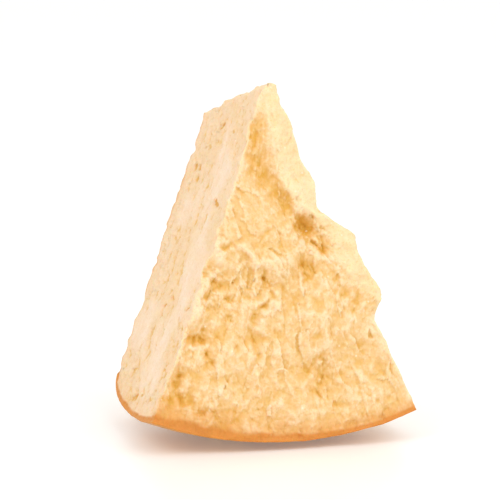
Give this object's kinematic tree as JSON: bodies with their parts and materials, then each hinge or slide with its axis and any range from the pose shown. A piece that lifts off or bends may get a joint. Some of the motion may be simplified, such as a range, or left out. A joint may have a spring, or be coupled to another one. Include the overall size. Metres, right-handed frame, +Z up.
{
  "type": "parmesan chunk",
  "caption": "Rough wedge of aged hard cheese broken from a wheel, standing point up on its curved rind.",
  "frame": {"origin": "centre of the chunk's bounding box in plan, at the level of the table it stands on", "axes": "+Z up towards the point, -Y out of the broken front face, +X across the front face to the right flank"},
  "size_m": [0.1498, 0.1444, 0.1964],
  "materials": {
    "hard_cheese": "dull, crumbly, pale straw cheese with a smooth golden-brown rind on its curved foot and back"
  },
  "bodies": {
    "root": {"cheese_chunk": "hard_cheese"}
  },
  "joints": []
}
